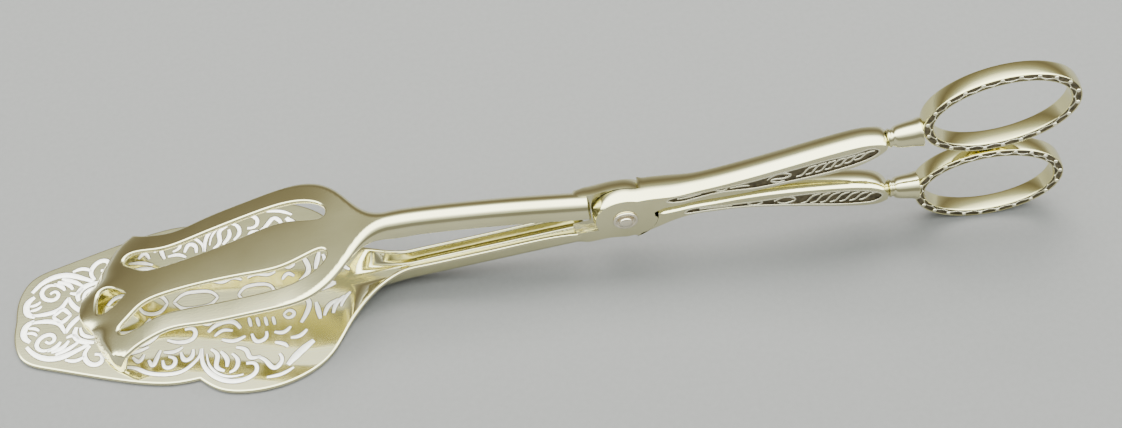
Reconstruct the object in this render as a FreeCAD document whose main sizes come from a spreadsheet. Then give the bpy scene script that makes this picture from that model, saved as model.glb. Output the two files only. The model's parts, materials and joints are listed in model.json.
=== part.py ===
"""Scissor-action serving tongs with a spade-shaped blade, an openwork upper jaw and two oval finger rings.

Frame, in millimetres: +X runs from the jaws to the finger rings, +Z is up, the tongs lie closed on their blade
at z = 0, and they open and close in the XZ plane about a rivet that runs along Y. The origin is the middle of
the object's footprint. Two arms cross at the rivet in a half-lap joint:
  blade arm: blade, lower shank, near cheek, upper grip, upper collar, upper finger ring, rivet and its washers
  jaw arm: upper jaw, upper shank, far cheek, lower grip, lower collar, lower finger ring
Side views are drawn with x measured from the rivet and z either from the table or from the rivet, as each
function says.
"""
import FreeCAD, Part
import math
import os
import Sketcher

V = FreeCAD.Vector

DRIVING_DIMENSIONS = {
    # where the rivet is, and the half-lap joint around it
    "pivot_x": 22.1,
    "pivot_z": 18.5,
    "joint_width": 7.0,
    "lap_gap": 0.16,
    "cheek_radius": 8.0,
    "shoulder_radius": 8.35,
    "stub_reach": 12.5,
    "rivet_radius": 1.6,
    "rivet_clearance": 0.05,
    "rivet_head_radius": 2.3,
    "rivet_head_rise": 0.9,
    "washer_radius": 3.1,
    "washer_thickness": 0.6,
    "washer_play": 0.04,
    # blade, a sheet that lies on the table
    "blade_thickness": 1.2,
    "blade_half_width": 28.1,
    "blade_front": 153.4,
    "blade_end": 57.0,
    # jaw, an arched plate with slots
    "jaw_thickness": 1.3,
    "jaw_half_width": 18.4,
    "jaw_end": 60.0,
    "jaw_gap": 0.35,
    "lip_width": 1.7,
    "lip_height": 9.0,
    # shanks, formed channels
    "shank_width": 6.4,
    "shank_height": 5.3,
    "shank_wall": 1.3,
    "shank_round": 2.2,
    # grips
    "grip_width": 5.8,
    "grip_round": 0.7,
    "panel_depth": 0.25,
    # collars between grip and ring
    "collar_root_radius": 2.05,
    "collar_bead_radius": 2.4,
    "collar_mouth_radius": 3.4,
    "upper_collar_x": 63.35,
    "upper_collar_z": 33.9,
    "upper_collar_tilt": 9.0,
    "lower_collar_x": 66.0,
    "lower_collar_z": 13.5,
    "lower_collar_tilt": 0.0,
    "ring_seat_play": 0.03,
    # finger rings
    "ring_half_length": 18.6,
    "ring_half_height": 13.3,
    "ring_thickness": 2.6,
    "ring_width": 4.4,
    "ring_bevel": 0.4,
    "upper_ring_x": 88.8,
    "upper_ring_z": 40.9,
    "upper_ring_tilt": 10.9,
    "lower_ring_x": 90.6,
    "lower_ring_tilt": 0.0,
}


def make_sheet(doc):
    """Spreadsheet of the driving dimensions: names in column A, values with aliases in column B."""
    sheet = doc.addObject("Spreadsheet::Sheet", "dims")
    for row, (name, value) in enumerate(DRIVING_DIMENSIONS.items(), start=1):
        sheet.set(f"A{row}", name)
        sheet.set(f"B{row}", str(value))
        sheet.setAlias(f"B{row}", name)
    doc.recompute()
    return sheet


def size(name):
    """A driving dimension, read back from the sheet."""
    return float(doc.getObject("dims").get(name))


# ---- helpers for bodies, sketches and features -------------------------------------------------------------


def new_body(label, x="dims.pivot_x", z=None, tilt=None):
    """A body placed at x, z, its local X turned up towards +Z by tilt degrees, all from the sheet."""
    body = doc.addObject("PartDesign::Body", label)
    body.Label = label
    body.Placement = FreeCAD.Placement(V(0, 0, 0), FreeCAD.Rotation(V(0, -1, 0), 0))
    body.setExpression("Placement.Base.x", x)
    if z:
        body.setExpression("Placement.Base.z", z)
    if tilt:
        body.setExpression("Placement.Rotation.Axis.y", "-1")
        body.setExpression("Placement.Rotation.Angle", f"{tilt} * 1deg")
    return body


def origin_feature(body, role):
    return next(part for part in body.Origin.OriginFeatures if part.Role == role)


def new_sketch(body, name, plane, offset=None):
    """An empty sketch on one of the body's own origin planes, moved along its normal by a sheet expression."""
    sketch = body.newObject("Sketcher::SketchObject", f"{body.Label}_{name}")
    sketch.AttachmentSupport = [(origin_feature(body, plane), "")]
    sketch.MapMode = "FlatFace"
    if offset:
        sketch.setExpression("AttachmentOffset.Base.z", offset)
    return sketch


def add_circle(sketch, expression):
    """A circle round the sketch's origin whose radius is bound to the sheet."""
    index = sketch.addGeometry(Part.Circle(V(0, 0, 0), V(0, 0, 1), 1.0), False)
    radius = sketch.addConstraint(Sketcher.Constraint("Radius", index, 1.0))
    sketch.setExpression(f"Constraints[{radius}]", expression)


def add_polygon(sketch, corners):
    for start, end in zip(corners, corners[1:] + corners[:1]):
        sketch.addGeometry(Part.LineSegment(V(*start, 0), V(*end, 0)), False)


def add_spline(sketch, points, closed=False):
    curve = Part.BSplineCurve()
    curve.interpolate([V(*point, 0) for point in points], closed)
    sketch.addGeometry(curve, False)


def add_chain(sketch, *runs):
    """A closed loop of runs that meet end to end: two points make a line, more make a smooth curve."""
    for run in runs:
        if len(run) == 2:
            sketch.addGeometry(Part.LineSegment(V(*run[0], 0), V(*run[1], 0)), False)
        else:
            add_spline(sketch, run)


def mirrored(points):
    """The same points on the other side of the X axis, in reverse order, so that a loop goes on round."""
    return [(x, -y) for x, y in reversed(points)]


def pad(body, sketch, length):
    """Pad a sketch to both sides by half of a length from the sheet each way."""
    feature = body.newObject("PartDesign::Pad", f"{sketch.Label}_pad")
    feature.Profile = sketch
    feature.SideType = "Symmetric"
    feature.setExpression("Length", length)
    doc.recompute()
    return feature


def pocket(body, sketch, length=None, both_ways=True, reversed_way=False):
    """Cut a sketch out of the body, right through or to a length from the sheet, and check that it cut."""
    before = body.Shape.Volume
    feature = body.newObject("PartDesign::Pocket", f"{sketch.Label}_pocket")
    feature.Profile = sketch
    feature.Type = "Length" if length else "ThroughAll"
    feature.SideType = "Symmetric" if both_ways else "One side"
    feature.Reversed = reversed_way
    if length:
        feature.setExpression("Length", length)
    doc.recompute()
    if body.Shape.Volume >= before:
        raise RuntimeError(f"{feature.Label} cut nothing")
    return feature


def dress_edges(body, kind, amount, wanted):
    """Fillet or chamfer the edges of the body's tip that a test on the edge picks."""
    tip = body.Tip
    names = [f"Edge{i}" for i, edge in enumerate(tip.Shape.Edges, start=1) if wanted(edge)]
    feature = body.newObject(f"PartDesign::{kind}", f"{body.Label}_{kind.lower()}")
    feature.Base = (tip, names)
    feature.setExpression("Radius" if kind == "Fillet" else "Size", amount)
    doc.recompute()
    return feature


def runs_along_at_height(height_at, half_width):
    """A test for the two long edges that follow height_at(x) at the sides of a body of the given half width."""

    def test(edge):
        box = edge.BoundBox
        middle = box.Center
        at_side = box.YLength < 0.01 and abs(abs(middle.y) - half_width) < 0.01
        return at_side and box.XLength > 20 and abs(middle.z - height_at(middle.x)) < 1.2

    return test


# ---- blade arm ---------------------------------------------------------------------------------------------


def make_lower_blade():
    """Spade outline cut from a sheet that lies flat and ramps up at its neck; x from the rivet, z from the table."""
    thickness = size("blade_thickness")
    front = size("blade_front")
    end = size("blade_end")
    ramp_foot = 66.0
    ramp_rise = 2.1
    body = new_body("lower_blade")
    strip = new_sketch(body, "side", "XZ_Plane")
    add_polygon(strip, [
        (-front - 1, 0), (-ramp_foot, 0), (-end, ramp_rise),
        (-end, ramp_rise + thickness), (-ramp_foot, thickness), (-front - 1, thickness),
    ])
    pad(body, strip, "2 * dims.blade_half_width + 2")
    half = size("blade_half_width")
    front_lobe = [(-front, 6.0), (-150.4, 12.0), (-144.0, 15.1), (-128.8, 20.0), (-113.5, 23.4), (-106.8, 23.0)]
    rear_lobe = [(-106.8, 23.0), (-101.5, 26.8), (-92.0, half), (-82.5, 26.0), (-74.5, 20.3), (-69.3, 11.5),
                 (-64.5, 6.8), (-end, 3.2)]
    trim = new_sketch(body, "outline", "XY_Plane")
    add_chain(trim, mirrored(front_lobe)[-1:] + [front_lobe[0]], front_lobe, rear_lobe,
              [rear_lobe[-1], mirrored(rear_lobe)[0]], mirrored(rear_lobe), mirrored(front_lobe))
    margin = half + 5
    add_polygon(trim, [(-front - 5, -margin), (-end + 5, -margin), (-end + 5, margin), (-front - 5, margin)])
    pocket(body, trim)


def channel(label, bottom_front, bottom_rear, x_front, x_rear, opens_up):
    """A formed channel between two upright end faces; x from the rivet, z of its lower edge from the table."""
    height = size("shank_height")
    wall = size("shank_wall")
    half_width = size("shank_width") / 2
    slope = (bottom_rear - bottom_front) / (x_rear - x_front)
    body = new_body(label)
    side = new_sketch(body, "side", "XZ_Plane")
    add_polygon(side, [(x_front, bottom_front), (x_rear, bottom_rear), (x_rear, bottom_rear + height),
                       (x_front, bottom_front + height)])
    pad(body, side, "dims.shank_width")

    def closed_edge(x):
        return bottom_front + slope * (x - x_front) + (0 if opens_up else height)

    dress_edges(body, "Fillet", "dims.shank_round", runs_along_at_height(closed_edge, half_width))
    hollow = new_sketch(body, "hollow", "XZ_Plane")
    low, high = (wall, height + 1) if opens_up else (-1, height - wall)
    past = 1.0
    front_z = bottom_front - slope * past
    rear_z = bottom_rear + slope * past
    add_polygon(hollow, [(x_front - past, front_z + low), (x_rear + past, rear_z + low),
                         (x_rear + past, rear_z + high), (x_front - past, front_z + high)])
    pocket(body, hollow, length="dims.shank_width - 2 * dims.shank_wall")


def make_lower_shank():
    """Channel open upwards, rising from the blade's neck to the joint."""
    channel("lower_shank", 2.1, 9.6, -size("blade_end"), -size("stub_reach"), opens_up=True)


def make_cheek(label, near, shank_stub, grip_stub):
    """Half of the lap joint: a disc with a stub for the arm's shank and one for its grip, all at the joint's
    full width, then halved inside the shoulder and bored for the rivet. x and z from the rivet."""
    body = new_body(label, z="dims.pivot_z")
    disc = new_sketch(body, "disc", "XZ_Plane")
    add_circle(disc, "dims.cheek_radius")
    pad(body, disc, "dims.joint_width")
    for name, corners in (("shank_stub", shank_stub), ("grip_stub", grip_stub)):
        stub = new_sketch(body, name, "XZ_Plane")
        add_polygon(stub, corners)
        pad(body, stub, "dims.joint_width")
    lap = new_sketch(body, "lap", "XZ_Plane", offset="dims.lap_gap / 2" if near else "-dims.lap_gap / 2")
    add_circle(lap, "dims.shoulder_radius")
    pocket(body, lap, both_ways=False, reversed_way=not near)
    bore = new_sketch(body, "bore", "XZ_Plane")
    add_circle(bore, "dims.rivet_radius + dims.rivet_clearance")
    pocket(body, bore)


def make_near_cheek():
    reach = size("stub_reach")
    make_cheek(
        "near_cheek", near=True,
        shank_stub=[(-1.0, -7.8), (-reach, -8.7), (-reach, -3.7), (-4.0, -1.5)],
        grip_stub=[(5.0, 1.7), (reach, 2.3), (reach, 7.6), (2.0, 7.6)],
    )


def make_far_cheek():
    reach = size("stub_reach")
    make_cheek(
        "far_cheek", near=False,
        shank_stub=[(-5.0, -0.5), (-reach, 1.4), (-reach, 6.7), (-2.0, 7.6)],
        grip_stub=[(1.0, -7.8), (reach, -2.6), (reach, 1.8), (5.0, 0.9)],
    )


def make_rivet():
    """Rivet along Y with a low dome at each end, turned about its axis."""
    body = new_body("pivot_rivet", z="dims.pivot_z")
    seat = size("joint_width") / 2 + size("washer_thickness") + size("washer_play")
    head = size("rivet_head_radius")
    rise = size("rivet_head_rise")
    shaft = size("rivet_radius")
    profile = new_sketch(body, "profile", "XY_Plane")
    dome_radius = (head**2 + rise**2) / (2 * rise)
    half_turn = math.asin(head / dome_radius) / 2
    mid_x = dome_radius * math.sin(half_turn)
    mid_y = seat + rise - dome_radius * (1 - math.cos(half_turn))
    for side in (-1, 1):
        rim = V(head, side * seat, 0)
        pole = V(0, side * (seat + rise), 0)
        profile.addGeometry(Part.Arc(rim, V(mid_x, side * mid_y, 0), pole), False)
    outline = [(head, -seat), (shaft, -seat), (shaft, seat), (head, seat)]
    for start, end in zip(outline, outline[1:]):
        profile.addGeometry(Part.LineSegment(V(*start, 0), V(*end, 0)), False)
    profile.addGeometry(Part.LineSegment(V(0, seat + rise, 0), V(0, -seat - rise, 0)), False)
    turned = body.newObject("PartDesign::Revolution", "pivot_rivet_turned")
    turned.Profile = profile
    turned.ReferenceAxis = (origin_feature(body, "Y_Axis"), [""])
    turned.Angle = 360
    doc.recompute()


def make_washer(label, near):
    """Washer between a cheek's outer face and the rivet's head."""
    body = new_body(label, z="dims.pivot_z")
    face = "(dims.joint_width + dims.washer_thickness) / 2"
    play = "" if near else " + dims.washer_play"
    ring = new_sketch(body, "ring", "XZ_Plane", offset=face if near else f"-({face}{play})")
    add_circle(ring, "dims.washer_radius")
    add_circle(ring, "dims.rivet_radius + dims.rivet_clearance")
    pad(body, ring, "dims.washer_thickness")


def make_grip(label, bottom, top, panel_bottom, panel_top):
    """Side outline between two curves, its long edges rounded, with a shallow panel sunk into each side face.
    x from the rivet, z from the table; the curves run from the joint to the collar."""
    half_width = size("grip_width") / 2
    body = new_body(label)
    side = new_sketch(body, "side", "XZ_Plane")
    add_chain(side, bottom, [bottom[-1], top[-1]], top[::-1], [top[0], bottom[0]])
    pad(body, side, "dims.grip_width")

    def long_side_edge(edge):
        box = edge.BoundBox
        return box.YLength < 0.01 and abs(abs(box.Center.y) - half_width) < 0.01 and box.XLength > 20

    dress_edges(body, "Fillet", "dims.grip_round", long_side_edge)
    for face, sign in (("near", 1), ("far", -1)):
        panel = new_sketch(body, f"{face}_panel", "XZ_Plane", offset=f"{sign} * (dims.grip_width / 2 + 1)")
        add_chain(panel, panel_bottom, panel_top[::-1])
        pocket(body, panel, length="dims.panel_depth + 1", both_ways=False, reversed_way=sign < 0)


def make_upper_grip():
    make_grip(
        "upper_grip",
        bottom=[(12.5, 20.8), (28.0, 21.9), (40.0, 23.8), (50.0, 25.5), (56.0, 27.2), (60.0, 30.2), (63.0, 31.8)],
        top=[(12.5, 26.1), (19.0, 26.7), (28.0, 28.9), (40.0, 32.2), (50.0, 35.0), (57.0, 36.6), (63.0, 35.8)],
        panel_bottom=[(17.0, 23.6), (30.0, 24.6), (48.0, 27.2), (57.5, 29.9), (61.0, 33.1)],
        panel_top=[(17.0, 23.6), (30.0, 26.3), (44.0, 30.4), (55.0, 33.9), (61.0, 33.1)],
    )


def make_lower_grip():
    make_grip(
        "lower_grip",
        bottom=[(12.5, 15.9), (20.0, 15.9), (28.0, 16.2), (38.0, 14.7), (50.0, 12.4), (59.0, 10.9), (66.0, 11.5)],
        top=[(12.5, 20.35), (20.0, 20.5), (28.0, 21.3), (38.0, 21.5), (50.0, 20.8), (59.0, 19.8), (66.0, 16.2)],
        panel_bottom=[(17.0, 18.3), (30.0, 17.7), (44.0, 15.5), (56.0, 13.1), (62.5, 14.6)],
        panel_top=[(17.0, 18.3), (30.0, 19.6), (44.0, 19.8), (56.0, 18.4), (62.5, 14.6)],
    )


def make_collar(side):
    """Flared collar turned about its own axis, its wide end cut to the ring's outer ellipse."""
    label = f"{side}_collar"
    body = new_body(label, x=f"dims.pivot_x + dims.{label}_x", z=f"dims.{label}_z", tilt=f"dims.{label}_tilt")
    root = size("collar_root_radius")
    bead = size("collar_bead_radius")
    mouth = size("collar_mouth_radius")
    past_ring = 12.0
    profile = new_sketch(body, "profile", "XZ_Plane")
    add_chain(profile, [(0, 0), (0, root)], [(0, root), (0.6, bead), (1.4, root)],
              [(1.4, root), (4.0, 0.5 * (root + mouth)), (7.0, mouth)],
              [(7.0, mouth), (past_ring, mouth)], [(past_ring, mouth), (past_ring, 0)], [(past_ring, 0), (0, 0)])
    turned = body.newObject("PartDesign::Revolution", f"{label}_turned")
    turned.Profile = profile
    turned.ReferenceAxis = (origin_feature(body, "X_Axis"), [""])
    turned.Angle = 360
    doc.recompute()
    ring_centre = V(size(f"{side}_ring_x") - size(f"{label}_x"), ring_height(side) - size(f"{label}_z"), 0)
    unturn = FreeCAD.Rotation(V(0, 0, 1), -size(f"{label}_tilt"))
    centre = unturn.multVec(ring_centre)
    along = FreeCAD.Rotation(V(0, 0, 1), size(f"{side}_ring_tilt") - size(f"{label}_tilt"))
    play = size("ring_seat_play")
    major = centre + along.multVec(V(size("ring_half_length") + play, 0, 0))
    minor = centre + along.multVec(V(0, size("ring_half_height") + play, 0))
    seat = new_sketch(body, "ring_seat", "XZ_Plane")
    seat.addGeometry(Part.Ellipse(major, minor, centre), False)
    pocket(body, seat)


# ---- finger rings ------------------------------------------------------------------------------------------


def ring_height(side):
    """The upper ring's centre height is a driving dimension; the lower ring stands on the table."""
    return size("upper_ring_z") if side == "upper" else size("ring_half_height")


def make_ring(side):
    """Oval finger ring of flat section with bevelled edges, in its own centre and along its own long axis."""
    label = f"{side}_finger_ring"
    height = "dims.upper_ring_z" if side == "upper" else "dims.ring_half_height"
    body = new_body(label, x=f"dims.pivot_x + dims.{side}_ring_x", z=height, tilt=f"dims.{side}_ring_tilt")
    long_half = size("ring_half_length")
    short_half = size("ring_half_height")
    thickness = size("ring_thickness")
    oval = new_sketch(body, "oval", "XZ_Plane")
    for inset in (0, thickness):
        ellipse = Part.Ellipse(V(long_half - inset, 0, 0), V(0, short_half - inset, 0), V(0, 0, 0))
        oval.addGeometry(ellipse, False)
    pad(body, oval, "dims.ring_width")
    dress_edges(body, "Chamfer", "dims.ring_bevel", lambda edge: edge.BoundBox.YLength < 0.01)


# ---- jaw arm -----------------------------------------------------------------------------------------------

JAW_CENTRE_LINE = [(-138.0, 2.9), (-130.0, 5.9), (-117.0, 10.8), (-104.0, 14.8), (-84.0, 20.6), (-76.0, 22.7),
                   (-69.0, 24.5), (-60.0, 25.0)]


def make_upper_jaw():
    """Arched plate in side view, trimmed to its outline in plan, with a turned-down lobed lip, two long slots
    and a small hole in front of the middle tine; x from the rivet, z from the table."""
    thickness = size("jaw_thickness")
    half = size("jaw_half_width")
    end = size("jaw_end")
    lip = size("lip_width")
    body = new_body("upper_jaw")
    top = JAW_CENTRE_LINE
    bottom = [(x, z - thickness) for x, z in top]
    strip = new_sketch(body, "side", "XZ_Plane")
    add_chain(strip, bottom, [bottom[-1], top[-1]], top[::-1], [top[0], bottom[0]])
    pad(body, strip, "2 * dims.jaw_half_width + 4")
    side_edge = [(-128.0, 16.3), (-124.5, half), (-118.5, 15.8), (-112.5, 14.5), (-104.0, 15.5), (-92.0, 16.8),
                 (-82.5, 17.4), (-75.5, 16.3), (-69.6, 12.2), (-65.0, 6.6), (-end, 3.3)]
    front_edge = [(-128.0, 16.3), (-130.8, 12.4), (-132.6, 8.2), (-136.0, 3.6), (-137.2, 0.0),
                  (-136.0, -3.6), (-132.6, -8.2), (-130.8, -12.4), (-128.0, -16.3)]
    band = new_sketch(body, "lip", "XY_Plane", offset="dims.blade_thickness + dims.jaw_gap")
    inner_edge = [(x + lip, y * (1 - lip / half)) for x, y in front_edge]
    add_chain(band, front_edge, [front_edge[-1], inner_edge[-1]], inner_edge[::-1], [inner_edge[0], front_edge[0]])
    lip_pad = body.newObject("PartDesign::Pad", "upper_jaw_lip_pad")
    lip_pad.Profile = band
    lip_pad.setExpression("Length", "dims.lip_height")
    doc.recompute()
    above = new_sketch(body, "above", "XZ_Plane")
    ceiling = 40.0
    add_chain(above, top, [top[-1], (-end, ceiling)], [(-end, ceiling), (-150.0, ceiling)],
              [(-150.0, ceiling), (-150.0, top[0][1])], [(-150.0, top[0][1]), top[0]])
    pocket(body, above)
    trim = new_sketch(body, "outline", "XY_Plane")
    add_chain(trim, side_edge, [side_edge[-1], mirrored(side_edge)[0]], mirrored(side_edge), front_edge[::-1])
    add_polygon(trim, [(-145.0, -25.0), (-end + 5, -25.0), (-end + 5, 25.0), (-145.0, 25.0)])
    pocket(body, trim)
    slot = [(-125.4, 10.6), (-121.5, 11.3), (-117.0, 10.2), (-112.5, 9.6), (-104.0, 10.4), (-92.0, 11.6),
            (-82.0, 11.9), (-75.5, 10.2), (-71.8, 6.4), (-76.0, 5.5), (-83.0, 6.6), (-92.0, 5.9),
            (-104.0, 4.6), (-113.0, 4.3), (-119.5, 5.2), (-123.5, 8.0)]
    front_hole = [(-124.4, 0.0), (-126.5, 2.0), (-129.5, 3.4), (-131.6, 2.8), (-132.2, 0.0)]
    openings = new_sketch(body, "openings", "XY_Plane")
    add_spline(openings, slot, closed=True)
    add_spline(openings, mirrored(slot), closed=True)
    add_spline(openings, front_hole + mirrored(front_hole)[1:-1], closed=True)
    pocket(body, openings)


def make_upper_shank():
    """Channel open downwards with a rounded back, falling gently from the jaw's neck to the joint."""
    channel("upper_shank", 22.0, 19.9, -size("jaw_end"), -size("stub_reach"), opens_up=False)


# ---- the whole -------------------------------------------------------------------------------------------


def check_document():
    for thing in doc.Objects:
        if "Invalid" in thing.State or "Error" in thing.State:
            raise RuntimeError(f"{thing.Label} failed: {thing.State}")
    for body in bodies():
        shape = body.Shape
        if shape.isNull() or not shape.isValid() or len(shape.Solids) != 1:
            raise RuntimeError(f"{body.Label} is not one valid solid")


def bodies():
    return [thing for thing in doc.Objects if thing.TypeId == "PartDesign::Body"]


doc = FreeCAD.newDocument("serving_tongs")
make_sheet(doc)

make_lower_blade()
make_lower_shank()
make_near_cheek()
make_rivet()
make_washer("near_washer", near=True)
make_washer("far_washer", near=False)
make_upper_grip()
make_collar("upper")
make_ring("upper")

make_upper_jaw()
make_upper_shank()
make_far_cheek()
make_lower_grip()
make_collar("lower")
make_ring("lower")

doc.recompute()
check_document()
os.makedirs("parts", exist_ok=True)
for body in bodies():
    body.Shape.exportStep(os.path.join("parts", f"{body.Label}.step"))
    print(f"{body.Label}: {body.Shape.Volume:.1f} mm3, {body.Shape.BoundBox}")
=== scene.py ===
"""Scissor-action serving tongs, polished: the visible model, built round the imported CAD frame.

Lengths are in millimetres until a mesh is made. Outlines are drawn in the object's own coordinates: x from
the rivet, y from the middle plane, z from the table. +X runs from the blade to the finger rings, +Z is up.
"""

import json
import math

import bpy
import numpy as np
from mathutils import Matrix, Vector, geometry


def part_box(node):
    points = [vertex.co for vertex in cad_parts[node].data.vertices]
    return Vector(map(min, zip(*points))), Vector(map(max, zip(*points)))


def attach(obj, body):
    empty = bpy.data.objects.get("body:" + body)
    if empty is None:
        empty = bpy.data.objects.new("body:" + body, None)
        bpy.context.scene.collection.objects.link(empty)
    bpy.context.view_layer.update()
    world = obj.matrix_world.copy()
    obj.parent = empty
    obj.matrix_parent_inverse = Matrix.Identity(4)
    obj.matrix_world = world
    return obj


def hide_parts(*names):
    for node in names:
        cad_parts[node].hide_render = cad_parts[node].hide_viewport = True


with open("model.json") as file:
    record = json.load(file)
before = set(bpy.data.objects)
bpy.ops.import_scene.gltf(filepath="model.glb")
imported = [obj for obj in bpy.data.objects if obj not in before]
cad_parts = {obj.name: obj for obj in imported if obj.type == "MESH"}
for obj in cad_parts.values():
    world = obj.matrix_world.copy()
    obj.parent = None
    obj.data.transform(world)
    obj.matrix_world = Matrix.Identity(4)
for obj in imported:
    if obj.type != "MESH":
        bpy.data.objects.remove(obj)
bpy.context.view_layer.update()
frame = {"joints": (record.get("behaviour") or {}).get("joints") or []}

MM = 0.001
PIVOT = np.array(frame["joints"][0]["pos_m"]) / MM

# ---- sizes, the same as the CAD part's ----

BLADE_THICKNESS = 1.2
JAW_THICKNESS = 1.3
JAW_LIP_CLEARANCE = 0.35
SHANK_WIDTH = 6.4
CHEEK_RADIUS = 8.0
SHOULDER_RADIUS = 8.12
STUB_REACH = 12.5
LAP_GAP = 0.16
JOINT_HALF_WIDTH = 3.5
GRIP_HALF_WIDTH = 2.9
PANEL_DEPTH = 0.25
WASHER_RADIUS = 3.1
WASHER_THICKNESS = 0.6
RING_HALF_LENGTH = 18.6
RING_HALF_HEIGHT = 13.3
RING_THICKNESS = 2.6
RING_HALF_WIDTH = 2.2
UPPER_RING_TILT = 10.9
# The lower shank rises from the blade's neck to the joint.
SHANK_SLOPE = (9.6 - 2.1) / (57.0 - 12.5)

Y_AXIS = np.array([0.0, 1.0, 0.0])


# ---- curves ----


def spline_slopes(t, p, closed):
    """First derivatives that make a cubic through the points p at the parameters t smooth in its second."""
    n = len(p)
    h = np.diff(t)
    chords = np.diff(p, axis=0) / h[:, None]
    system = np.zeros((n, n))
    right = np.zeros_like(p)
    for i in range(1, n - 1):
        system[i, i - 1:i + 2] = h[i], 2 * (h[i - 1] + h[i]), h[i - 1]
        right[i] = 3 * (h[i] * chords[i - 1] + h[i - 1] * chords[i])
    if closed:
        system[0, :2] = 2 * (h[-1] + h[0]), h[-1]
        system[0, -2] = h[0]
        right[0] = 3 * (h[0] * chords[-1] + h[-1] * chords[0])
        system[-1, 0], system[-1, -1] = 1, -1
    else:
        system[0, :2] = 2, 1
        right[0] = 3 * chords[0]
        system[-1, -2:] = 1, 2
        right[-1] = 3 * chords[-1]
    return np.linalg.solve(system, right)


def spline_at(t, p, slopes, at):
    """Points of the cubic at the parameters at."""
    i = np.clip(np.searchsorted(t, at) - 1, 0, len(t) - 2)
    h = (t[i + 1] - t[i])[:, None]
    s = (at - t[i])[:, None] / h
    return ((1 + 2 * s) * (1 - s)**2 * p[i] + s * (1 - s)**2 * h * slopes[i]
            + s**2 * (3 - 2 * s) * p[i + 1] + s**2 * (s - 1) * h * slopes[i + 1])


def smooth_line(points, step=0.7, closed=False):
    """Points about a step apart on a smooth curve through the given ones; a closed one starts only once."""
    p = np.array(points, float)
    if closed:
        p = np.vstack([p, p[:1]])
    t = np.concatenate([[0], np.cumsum(np.linalg.norm(np.diff(p, axis=0), axis=1)**0.7)])
    slopes = spline_slopes(t, p, closed)
    fine = spline_at(t, p, slopes, np.linspace(0, t[-1], 60 * len(p)))
    travelled = np.concatenate([[0], np.cumsum(np.linalg.norm(np.diff(fine, axis=0), axis=1))])
    count = max(3, round(travelled[-1] / step))
    at = np.linspace(0, travelled[-1], count + 1)
    line = np.stack([np.interp(at, travelled, fine[:, k]) for k in range(p.shape[1])], axis=1)
    return line[:-1] if closed else line


def profile(points):
    """A smooth function of x through the (x, value) points, level with its end points beyond them."""
    points = np.array(sorted(points), float)
    x, value = points[:, 0], points[:, 1:]
    slopes = spline_slopes(x, value, closed=False)

    def at(u):
        u = np.asarray(u, float)
        return spline_at(x, value, slopes, np.clip(u.ravel(), x[0], x[-1]))[:, 0].reshape(u.shape)

    return at


def ease(start, end, u):
    """0 before start, 1 after end, and smooth in between."""
    s = np.clip((u - start) / (end - start), 0, 1)
    return s**3 * (10 - 15 * s + 6 * s**2)


def arc(radius, start, end, step=0.5):
    """Points round the rivet's axis from one angle to another, in degrees, with x along and z up."""
    count = max(2, round(abs(math.radians(end - start)) * radius / step))
    angle = np.radians(np.linspace(start, end, count + 1))
    return np.stack([radius * np.cos(angle), PIVOT[2] + radius * np.sin(angle)], axis=1)


def loop(*runs):
    """One closed loop of the runs end to end, without repeated points, anticlockwise."""
    points = np.vstack(runs)
    gap = np.linalg.norm(points - np.roll(points, 1, axis=0), axis=1)
    points = points[gap > 0.02]
    x, y = points.T
    area = np.sum(x * np.roll(y, -1) - y * np.roll(x, -1))
    return points if area > 0 else points[::-1]


def clear_corners(points, reach=1.3):
    """The anticlockwise loop without points that crowd its sharp convex corners, so that it can be inset."""
    ahead = unit(np.roll(points, -1, axis=0) - points)
    before = np.roll(ahead, 1, axis=0)
    turn = np.arctan2(before[:, 0] * ahead[:, 1] - before[:, 1] * ahead[:, 0], np.sum(before * ahead, axis=1))
    kept = np.ones(len(points), bool)
    for corner in points[turn > math.radians(35)]:
        gap = np.linalg.norm(points - corner, axis=1)
        kept &= (gap < 0.01) | (gap > reach)
    return points[kept]


def mirrored(points):
    """The same points on the other side of the x axis, in reverse order."""
    return np.array([(x, -y) for x, y in np.asarray(points)[::-1]])


def unit(vectors):
    return vectors / np.maximum(np.linalg.norm(vectors, axis=-1, keepdims=True), 1e-12)


def leftward(ahead):
    """Directions in a plane turned a quarter turn anticlockwise."""
    return np.stack([-ahead[:, 1], ahead[:, 0]], axis=1)


def inward(points):
    """Directions into an anticlockwise loop at its points, longer at corners so that sides stay parallel."""
    ahead = unit(np.roll(points, -1, axis=0) - points)
    normal = unit(leftward(ahead + np.roll(ahead, 1, axis=0)))
    return normal / np.clip(np.sum(normal * leftward(ahead), axis=1, keepdims=True), 0.6, 1)


# ---- meshes ----


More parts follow.
